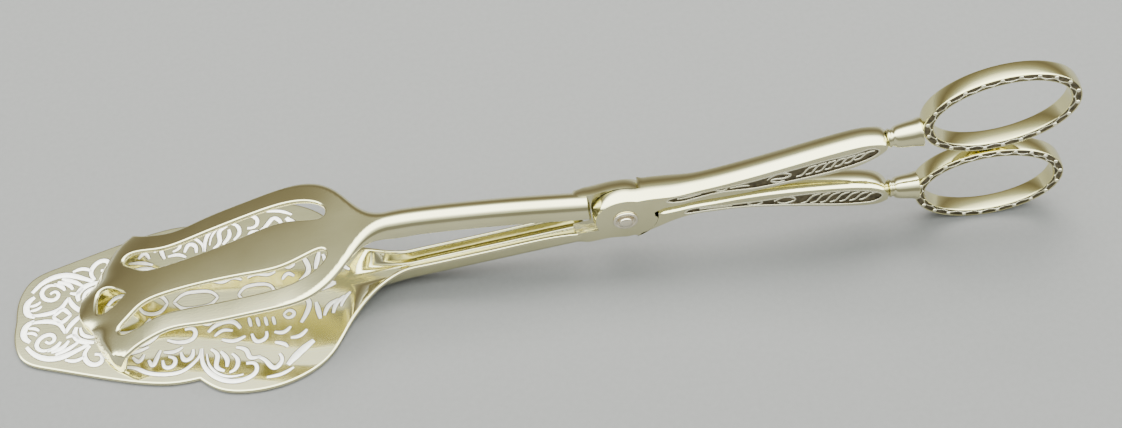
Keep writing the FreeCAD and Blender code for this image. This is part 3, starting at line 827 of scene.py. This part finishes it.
# Each stroke is its width and the points that it runs through, on the blade's half with y < 0.
FRONT_SCROLLS = [
    (1.3, [(-148.6, -0.6), (-150.3, -1.6), (-151.0, -3.4), (-150.6, -5.3), (-149.2, -6.6)]),
    (0.7, [(-149.9, -2.6), (-148.4, -2.8), (-147.2, -3.6)]),
    (0.7, [(-150.1, -4.0), (-148.6, -4.2), (-147.6, -5.0)]),
    (1.0, [(-149.3, -1.1), (-147.0, -1.0), (-144.5, -1.3), (-142.2, -2.4), (-141.1, -4.2), (-140.5, -5.2)]),
    (1.0, [(-140.5, -5.2), (-139.4, -3.0), (-137.2, -0.8), (-136.2, 0.0)]),
    (0.9, [(-144.0, 0.0), (-142.9, -1.2), (-141.8, -1.9), (-140.7, -1.2), (-139.6, 0.0)]),
    (1.2, [(-149.9, -8.0), (-148.0, -10.2), (-145.0, -11.9), (-141.5, -12.2), (-138.0, -11.0), (-134.5, -9.3)]),
    (0.9, [(-143.9, -9.4), (-145.8, -9.6), (-147.3, -8.4), (-147.2, -6.6), (-145.7, -5.3), (-143.9, -5.3),
           (-143.2, -6.6), (-144.2, -7.6), (-145.3, -7.0)]),
    (0.9, [(-144.6, -9.9), (-142.5, -8.8), (-141.6, -7.6)]),
    (0.9, [(-143.6, -10.4), (-140.8, -9.2), (-139.6, -7.6)]),
    (0.9, [(-142.6, -11.2), (-139.3, -9.8), (-137.2, -8.3)]),
    (0.8, [(-140.2, -6.6), (-138.4, -6.2), (-137.0, -7.6)]),
    (1.2, [(-137.9, -3.9), (-138.2, -6.0), (-136.6, -8.0), (-133.2, -8.9)]),
    (0.8, [(-136.9, -4.2), (-136.2, -6.2), (-134.2, -7.2), (-132.8, -7.2)]),
    (0.8, [(-140.0, -13.0), (-137.5, -13.6), (-135.2, -12.6)]),
    (1.0, [(-134.2, -9.8), (-135.3, -11.8), (-134.6, -14.2), (-132.4, -15.4), (-130.9, -14.4), (-131.3, -12.8),
           (-132.8, -12.4)]),
]
SIDE_FRAMES = [
    (0.8, [(-128.6, -15.4), (-126.4, -16.9), (-123.0, -17.6), (-120.0, -19.3), (-115.0, -20.6), (-111.0, -20.2),
           (-108.3, -18.2), (-107.0, -16.4), (-106.7, -14.5)]),
    (0.9, [(-119.4, -16.0), (-118.4, -17.6), (-117.3, -15.2), (-116.6, -13.6)]),
    (0.8, [(-116.0, -16.5), (-115.2, -18.6), (-113.4, -18.4), (-113.0, -16.6), (-114.6, -15.6)]),
    (0.9, [(-111.6, -14.9), (-110.4, -17.2), (-109.0, -16.6), (-108.6, -14.4)]),
    (0.8, [(-123.4, -14.6), (-121.9, -16.0), (-120.6, -14.2)]),
    (1.0, [(-106.5, -14.5), (-106.0, -19.0), (-103.5, -22.5), (-100.0, -24.5), (-95.5, -24.5), (-93.0, -22.5),
           (-93.5, -20.5), (-95.5, -20.2)]),
    (0.5, [(-105.2, -16.2), (-104.7, -19.0), (-102.7, -21.8), (-99.7, -23.3), (-96.2, -23.2)]),
    (0.9, [(-104.2, -15.0), (-102.6, -17.0), (-102.8, -20.0), (-100.8, -21.6)]),
    (0.9, [(-101.8, -16.0), (-100.2, -18.5), (-100.3, -20.5)]),
    (0.8, [(-99.0, -17.0), (-97.6, -19.0), (-98.2, -21.4), (-99.6, -22.2)]),
    (0.9, [(-98.0, -15.3), (-95.5, -16.6), (-94.6, -18.6), (-92.0, -18.7)]),
    (0.9, [(-92.8, -18.6), (-90.6, -20.3), (-88.6, -22.4), (-86.8, -20.4), (-87.4, -18.6)]),
    (1.5, [(-85.4, -22.0), (-82.6, -19.0), (-79.0, -16.0)]),
    (0.7, [(-90.5, -24.8), (-87.0, -24.4), (-84.0, -22.9)]),
    (0.8, [(-88.5, -15.2), (-86.0, -16.2), (-85.4, -17.0)]),
    (0.8, [(-84.6, -14.4), (-82.4, -14.2), (-80.6, -12.6)]),
]
INNER_SCROLLS = [
    (0.9, [(-130.4, -1.4), (-128.6, -3.4), (-126.0, -3.6), (-124.4, -1.9)]),
    (0.8, [(-122.6, 0.0), (-120.8, -2.2), (-117.4, -2.4), (-115.4, 0.0)]),
    (0.8, [(-116.8, -6.6), (-113.4, -5.6), (-110.8, -6.8)]),
    (0.8, [(-123.8, -9.2), (-121.6, -9.0), (-120.2, -9.8)]),
    (0.8, [(-125.8, -13.4), (-122.6, -13.2), (-119.6, -12.2)]),
    (0.8, [(-115.8, -14.2), (-113.2, -14.4), (-111.2, -13.4)]),
    (0.8, [(-107.2, -6.6), (-104.8, -7.6), (-103.6, -6.2)]),
    (0.8, [(-95.4, -4.8), (-93.0, -5.6), (-90.4, -5.0), (-88.4, -5.6)]),
    (0.8, [(-101.6, -12.6), (-98.6, -13.4), (-95.8, -12.4)]),
    (0.8, [(-94.2, -12.0), (-92.8, -14.4), (-90.8, -13.6), (-90.6, -11.8)]),
    (0.8, [(-88.6, -12.2), (-86.4, -12.6), (-84.6, -11.2)]),
    (0.8, [(-86.6, -3.0), (-85.2, -4.6), (-83.6, -3.6)]),
    (0.9, [(-128.0, -6.8), (-124.6, -7.4), (-121.4, -6.2), (-119.6, -4.0)]),
    (0.9, [(-126.2, -10.8), (-122.4, -11.4), (-119.0, -10.4), (-117.6, -8.6), (-119.2, -7.6)]),
    (0.9, [(-115.0, -10.9), (-111.5, -12.0), (-108.4, -10.8), (-108.6, -8.6), (-110.8, -8.4)]),
    (1.0, [(-105.0, -10.0), (-103.0, -8.2), (-99.0, -7.8), (-97.0, -10.0)]),
    (0.7, [(-103.4, -11.4), (-101.4, -10.0), (-99.0, -10.4)]),
    (0.7, [(-95.0, -7.2), (-94.4, -9.8)]),
    (0.7, [(-93.0, -7.4), (-92.4, -10.0)]),
    (0.7, [(-91.0, -7.6), (-90.4, -10.1)]),
    (0.7, [(-89.0, -7.8), (-88.5, -10.1)]),
    (0.7, [(-86.3, -7.5), (-85.0, -8.6), (-83.7, -7.5), (-85.0, -6.4), (-86.3, -7.5)]),
    (1.0, [(-78.2, -5.0), (-77.2, -10.0)]),
    (1.0, [(-82.2, -2.0), (-80.0, -4.6), (-80.6, -7.8), (-82.0, -10.4)]),
    (0.9, [(-76.2, -9.2), (-75.0, -6.4), (-72.6, -4.9)]),
    (0.9, [(-74.0, -8.8), (-73.0, -6.0), (-71.0, -4.2)]),
    (0.8, [(-72.0, -7.2), (-71.0, -4.9), (-69.4, -3.4)]),
    (1.0, [(-84.6, 0.0), (-82.6, -1.4), (-79.0, -1.6), (-75.6, -0.9), (-73.2, 0.0)]),
    (0.8, [(-97.6, 0.0), (-96.2, -1.8), (-93.0, -2.4), (-89.8, -1.7), (-88.6, 0.0)]),
    (0.8, [(-113.8, 0.0), (-111.6, -2.0), (-107.8, -2.4), (-104.4, -1.7), (-102.8, 0.0)]),
    (0.8, [(-107.6, -4.4), (-104.6, -5.2), (-101.6, -4.4), (-99.6, -5.2), (-96.8, -4.4)]),
]


def scrollwork(blade_top, materials):
    """Frosted raised strokes, each on a slightly wider bed whose dark finish is a painted shadow line round the
    stroke, mirrored across the blade's middle.
    """
    white, bed = Shell(), Shell()
    for width, points in FRONT_SCROLLS + SIDE_FRAMES + INNER_SCROLLS:
        for side in (1, -1):
            line = smooth_line([(x, side * y) for x, y in points], step=0.35)
            broad = 1.25 * width
            taper = [0.6 * broad, broad, broad, 0.6 * broad]
            # Painted shadow line: the bed under each stroke is dark so that it draws a shade line round the
            # stroke.
            ribbon(bed, blade_top, line, [w + 0.4 for w in taper], 0.0, 0.02)
            ribbon(white, blade_top, line, taper, 0.015, 0.05)
    return white.build("blade_scrollwork", materials[0]), bed.build("blade_scroll_shade_lines", materials[1])


# ---- relief on the grips ----

# Widths and points (x, z) of the small figures in the panels, and the edges that the leaf veins run between.
UPPER_MOTIFS = [
    (0.45, [(21.6, 25.3), (22.6, 24.6), (24.0, 24.7), (24.6, 25.3), (23.8, 25.9), (22.4, 25.8), (21.6, 25.3)]),
    (0.4, [(25.4, 25.2), (27.6, 25.5), (30.0, 25.4)]),
    (0.5, [(34.3, 26.7), (35.8, 28.2), (38.0, 28.6), (39.9, 27.7), (38.2, 26.6), (36.4, 26.7), (35.2, 26.2),
           (36.8, 25.4), (38.6, 25.8)]),
    (0.35, [(12.6, 24.0), (15.0, 23.9), (18.4, 24.4)]),
]
UPPER_LEAF = profile([(40, 25.4), (50, 27.3), (60, 31.6)]), profile([(40, 29.8), (50, 32.4), (60, 34.3)])
LOWER_MOTIFS = [
    (0.45, [(30.0, 17.9), (31.2, 17.1), (32.9, 17.2), (33.6, 17.9), (32.6, 18.5), (31.0, 18.4), (30.0, 17.9)]),
    (0.5, [(36.6, 17.6), (38.4, 18.7), (40.6, 18.5), (41.8, 17.4), (40.4, 16.4), (38.4, 16.4), (37.4, 17.2)]),
    (0.35, [(18.2, 18.2), (21.8, 18.1), (26.2, 18.0)]),
]
LOWER_LEAF = profile([(40, 15.7), (50, 13.9), (63, 13.4)]), profile([(40, 19.1), (50, 19.0), (63, 16.4)])


def leaf_veins(start, end, low_at, high_at):
    """Slanted S strokes between the two edges of a panel."""
    strokes = []
    for x in np.linspace(start, end, 7):
        low, high = low_at(x), high_at(x + 1.4)
        height = high - low
        strokes.append((0.5, [(x - 1.7, low + 0.18 * height), (x - 0.4, low + 0.26 * height),
                              (x + 0.9, low + 0.68 * height), (x + 2.9, low + 0.84 * height)]))
    return strokes


def panel_relief(shell, face, panel, strokes):
    """A raised border round a sunk panel, and its domed strokes."""
    floor = -PANEL_DEPTH / GRIP_HALF_WIDTH
    border = np.vstack([panel, panel[:2]])
    ribbon(shell, face, border, [0.42, 0.42], -0.01, 0.05, domed=True)
    for width, points in strokes:
        widths = [0.5 * width, width, 0.5 * width]
        ribbon(shell, face, smooth_line(points, step=0.25), widths, floor, 0.075, domed=True)


# ---- materials ----


class Nodes:
    """The nodes of a material or a world, and short ways to add to them."""

    def __init__(self, owner, shader="Principled BSDF"):
        owner.use_nodes = True
        self.owner, self.tree = owner, owner.node_tree
        self.shader = self.tree.nodes[shader]
        self.places = self.add("ShaderNodeTexCoord").outputs

    def add(self, kind, **values):
        node = self.tree.nodes.new(kind)
        for name, value in values.items():
            if name in node.inputs:
                node.inputs[name].default_value = value
            else:
                setattr(node, name, value)
        return node

    def link(self, output, node_input):
        self.tree.links.new(output, node_input)

    def noise(self, scale, detail=3.0, stretch=None):
        """Noise in the object's own coordinates, so many waves a metre, with a scale per axis if asked."""
        node = self.add("ShaderNodeTexNoise", Scale=scale, Detail=detail)
        place = self.places["Object"]
        if stretch:
            mapping = self.add("ShaderNodeMapping", Scale=stretch)
            self.link(place, mapping.inputs["Vector"])
            place = mapping.outputs["Vector"]
        self.link(place, node.inputs["Vector"])
        return node.outputs["Fac"]

    def ramp(self, source, stops):
        """A colour or grey ramp over a 0..1 source."""
        node = self.add("ShaderNodeValToRGB")
        elements = node.color_ramp.elements
        while len(elements) < len(stops):
            elements.new(0.5)
        for element, (position, value) in zip(elements, stops):
            element.position = position
            element.color = (value, value, value, 1) if np.isscalar(value) else (*value, 1)
        self.link(source, node.inputs["Fac"])
        return node.outputs["Color"]

    def bump(self, height, strength, distance, before=None):
        node = self.add("ShaderNodeBump", Strength=strength, Distance=distance)
        self.link(height, node.inputs["Height"])
        if before:
            self.link(before, node.inputs["Normal"])
        return node.outputs["Normal"]


def plated_metal(name, light, deep, roughness, scratch, wave):
    """Polished plate: its colour drifts a little, with fine scratches both ways and a faint waviness."""
    nodes = Nodes(bpy.data.materials.new(name))
    nodes.shader.inputs["Metallic"].default_value = 1.0
    drift = nodes.noise(55.0, 4.0)
    nodes.link(nodes.ramp(drift, [(0.3, deep), (0.7, light)]), nodes.shader.inputs["Base Color"])
    smear = nodes.noise(160.0, 5.0, stretch=(0.4, 1.0, 1.0))
    shine = nodes.ramp(smear, [(0.3, roughness[0]), (0.72, roughness[1])])
    nodes.link(shine, nodes.shader.inputs["Roughness"])
    ripple = nodes.bump(nodes.noise(45.0, 2.0), wave, 0.0006)
    along = nodes.bump(nodes.noise(2600.0, 2.0, stretch=(0.05, 1.0, 1.0)), scratch, 0.00003, ripple)
    across = nodes.bump(nodes.noise(1900.0, 2.0, stretch=(1.0, 0.06, 1.0)), scratch * 0.6, 0.00003, along)
    nodes.link(across, nodes.shader.inputs["Normal"])
    return nodes.owner


def frosted_metal(name, light, deep, roughness, metallic):
    """Matt etched metal with a fine tooth."""
    nodes = Nodes(bpy.data.materials.new(name))
    nodes.shader.inputs["Metallic"].default_value = metallic
    colour = nodes.ramp(nodes.noise(900.0, 4.0), [(0.3, deep), (0.65, light)])
    nodes.link(colour, nodes.shader.inputs["Base Color"])
    shine = nodes.ramp(nodes.noise(2200.0, 2.0), [(0.3, roughness[0]), (0.7, roughness[1])])
    nodes.link(shine, nodes.shader.inputs["Roughness"])
    nodes.link(nodes.bump(nodes.noise(3800.0, 3.0), 0.35, 0.00005), nodes.shader.inputs["Normal"])
    return nodes.owner


POLISHED = plated_metal("polished_plate", (0.77, 0.735, 0.465), (0.70, 0.66, 0.39), (0.07, 0.14), 0.12, 0.10)
RIVETED = plated_metal("rivet_metal", (0.86, 0.80, 0.66), (0.76, 0.68, 0.52), (0.12, 0.22), 0.18, 0.05)
BEADED = plated_metal("beaded_plate", (0.78, 0.735, 0.41), (0.70, 0.65, 0.33), (0.08, 0.16), 0.10, 0.05)
FROSTED = frosted_metal("frosted_scrolls", (0.98, 0.97, 0.92), (0.92, 0.90, 0.82), (0.45, 0.58), 0.35)
# Painted shade: a dark metal for the grips' sunk panels, the rings' sunk side faces and the thin beds under the
# scroll strokes, standing in for the shade in those recesses and along those edges.
RECESS_SHADE = frosted_metal("painted_recess_shade", (0.17, 0.14, 0.08), (0.06, 0.05, 0.03), (0.30, 0.48), 0.9)
# Painted highlight: a paler metal for the raised panel borders and strokes and the rings' ridges and beads, so
# that they show as bright glints.
RELIEF_HIGHLIGHT = plated_metal("relief_painted_highlight", (0.95, 0.92, 0.74), (0.88, 0.84, 0.58), (0.22, 0.32), 0.1, 0.05)


# ---- the pieces ----


def keep(piece, body, slot, *nodes):
    """Says which body a piece moves with and the CAD nodes that it replaces; slot is not used."""
    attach(piece, body)
    if nodes:
        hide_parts(*nodes)


def make_blade():
    blade = sheet_plate("blade_and_shank", blade_centre, BLADE_THICKNESS, [blade_outline()],
                        (1.0, -76.0, 0.42), [POLISHED])
    keep(blade, "blade_arm", "engraved_plate", "lower_blade", "lower_shank")
    top = curved_sheet(blade_centre, BLADE_THICKNESS / 2, 1)
    # The scroll beds take the dark metal that paints a shadow line round each stroke.
    for piece in scrollwork(top, [FROSTED, RECESS_SHADE]):
        keep(piece, "blade_arm", "engraved_plate")


def make_jaw():
    slot = jaw_slot()
    rings = [jaw_outline(), loop(slot), loop(mirrored(slot)), loop(jaw_front_hole())]
    jaw = sheet_plate("jaw_and_shank", jaw_centre, JAW_THICKNESS, rings, (0.9, -92.0, 0.45), [POLISHED])
    keep(jaw, "jaw_arm", "polished_plate", "upper_jaw", "upper_shank")


def make_arm(name, near, outline, panel_points, strokes, body, nodes):
    panel = loop(smooth_line(panel_points, closed=True))
    shell, own_face, other_face = casting(near, outline, panel)
    # Second material: painted shade in the sunk panels.
    keep(shell.build(name, POLISHED, RECESS_SHADE), body, "polished_plate", *nodes)
    relief = Shell()
    for face in (own_face, other_face):
        panel_relief(relief, face, panel, strokes)
    # The relief takes the paler metal that paints highlights on it.
    keep(relief.build(f"{name}_relief", RELIEF_HIGHLIGHT), body, "polished_plate")


def make_arms():
    strokes = UPPER_MOTIFS + leaf_veins(43.0, 56.6, *UPPER_LEAF)
    nodes = ["near_cheek", "upper_grip"]
    make_arm("near_arm", True, near_arm_outline(), UPPER_PANEL, strokes, "blade_arm", nodes)
    strokes = LOWER_MOTIFS + leaf_veins(45.0, 59.6, *LOWER_LEAF)
    nodes = ["far_cheek", "lower_grip"]
    make_arm("far_arm", False, far_arm_outline(), LOWER_PANEL, strokes, "jaw_arm", nodes)


# Where each collar starts, x and z, how far it points up in degrees, and how far it reaches.
UPPER_COLLAR = (62.9, 33.9, 9.0, 8.3)
LOWER_COLLAR = (65.7, 13.5, 0.0, 7.3)


def middle_of(node):
    """Middle of a CAD node's box, with x from the rivet."""
    low, high = (np.array(corner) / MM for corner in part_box(node))
    return (low + high) / 2 - [PIVOT[0], 0, 0]


def make_rings():
    sides = [("upper", "blade_arm", UPPER_RING_TILT, UPPER_COLLAR), ("lower", "jaw_arm", 0.0, LOWER_COLLAR)]
    for side, body, tilt, (x, z, heading, reach) in sides:
        centre = middle_of(f"{side}_finger_ring")
        # Second material: painted shade on the rings' sunk side faces.
        # Third material: painted highlight on the rings' ridges and beads.
        ring = finger_ring(f"{side}_ring", Oval(centre[0], centre[2], tilt), [BEADED, RECESS_SHADE, RELIEF_HIGHLIGHT])
        keep(ring, body, "beaded_plate", f"{side}_finger_ring")
        bell = collar(f"{side}_bell", (x, 0.0, z), heading, reach, [POLISHED])
        keep(bell, body, "polished_plate", f"{side}_collar")


def make_rivet():
    near_ring, near_head = rivet_end(-1, [RIVETED])
    far_ring, far_head = rivet_end(1, [RIVETED])
    keep(near_ring, "blade_arm", "rivet_metal", "near_washer")
    keep(far_ring, "blade_arm", "rivet_metal", "far_washer")
    keep(near_head, "blade_arm", "rivet_metal", "pivot_rivet")
    keep(far_head, "blade_arm", "rivet_metal")


# ---- floor, light and camera ----


def make_floor():
    """A large matt sheet, its tone a little uneven."""
    shell = Shell()
    half = 2500.0
    corners = [(-half, -half, 0), (half, -half, 0), (half, half, 0), (-half, half, 0)]
    shell.add_faces([shell.add(corners, [(0, 0, 1)] * 4)])
    nodes = Nodes(bpy.data.materials.new("floor"))
    nodes.shader.inputs["Roughness"].default_value = 0.9
    colour = nodes.ramp(nodes.noise(700.0, 5.0), [(0.3, (0.104, 0.104, 0.102)), (0.7, (0.112, 0.112, 0.110))])
    nodes.link(colour, nodes.shader.inputs["Base Color"])
    shell.build("floor", nodes.owner)


CAMERA_DISTANCE = 395.95


def make_camera():
    """A camera that looks down at the table from the front, turned and rolled a little."""
    azimuth, elevation, roll = math.radians(-2.67), math.radians(54.5), math.radians(-4.67)
    target = Vector((PIVOT[0] - 14.67, 13.70, 0.0)) * MM
    back = Vector((math.sin(azimuth) * math.cos(elevation), -math.cos(azimuth) * math.cos(elevation),
                   math.sin(elevation)))
    right = Vector((math.cos(azimuth), math.sin(azimuth), 0.0))
    up = back.cross(right)
    x_axis = math.cos(roll) * right + math.sin(roll) * up
    y_axis = math.cos(roll) * up - math.sin(roll) * right
    camera = bpy.data.objects.new("camera", bpy.data.cameras.new("camera"))
    bpy.context.scene.collection.objects.link(camera)
    camera.data.lens = 49.25
    camera.data.sensor_width = 36.0
    camera.data.clip_start = 0.01
    turn = Matrix((x_axis, y_axis, back)).transposed().to_4x4()
    camera.matrix_world = Matrix.Translation(target + CAMERA_DISTANCE * MM * back) @ turn
    bpy.context.scene.camera = camera


# Light of the surroundings by angle, from the far horizon (0) over the top (90) to the near horizon (180).
SURROUNDINGS = [(0, (0.62, 0.62, 0.59)), (10, (0.44, 0.42, 0.36)), (28, (0.24, 0.21, 0.15)),
                (42, (0.40, 0.37, 0.28)), (50, (0.66, 0.66, 0.55)), (55, (0.90, 0.94, 0.84)),
                (61, (2.9, 3.0, 2.9)), (72, (7.6, 8.0, 7.8)), (112, (7.6, 8.0, 7.8)), (132, (1.8, 1.9, 1.8)),
                (152, (0.36, 0.36, 0.32)), (172, (0.34, 0.34, 0.31)), (180, (0.58, 0.58, 0.56))]
BRIGHTEST = 8.0


def make_light():
    """Soft light as a gradient all round, brightest overhead, and a soft key lamp above the far side."""
    world = bpy.data.worlds.new("studio")
    bpy.context.scene.world = world
    nodes = Nodes(world, "Background")
    split = nodes.add("ShaderNodeSeparateXYZ")
    angle = nodes.add("ShaderNodeMath", operation="ARCTAN2")
    share = nodes.add("ShaderNodeMath", operation="DIVIDE", use_clamp=True)
    share.inputs[1].default_value = math.pi
    nodes.link(nodes.places["Generated"], split.inputs[0])
    nodes.link(split.outputs["Z"], angle.inputs[0])
    nodes.link(split.outputs["Y"], angle.inputs[1])
    nodes.link(angle.outputs[0], share.inputs[0])
    stops = [(degrees / 180, np.array(colour) / BRIGHTEST) for degrees, colour in SURROUNDINGS]
    nodes.link(nodes.ramp(share.outputs[0], stops), nodes.shader.inputs["Color"])
    nodes.shader.inputs["Strength"].default_value = BRIGHTEST
    lamp = bpy.data.objects.new("key", bpy.data.lights.new("key", "AREA"))
    bpy.context.scene.collection.objects.link(lamp)
    lamp.data.energy = 22.0
    lamp.visible_glossy = False
    lamp.data.size = 0.5
    lamp.data.color = (1.0, 0.98, 0.94)
    place_at = Vector((0.05, 0.35, 0.75))
    lamp.location = place_at
    lamp.rotation_euler = (-place_at).to_track_quat("-Z", "Y").to_euler()


make_blade()
make_jaw()
make_arms()
make_rings()
make_rivet()
make_floor()
make_light()
make_camera()
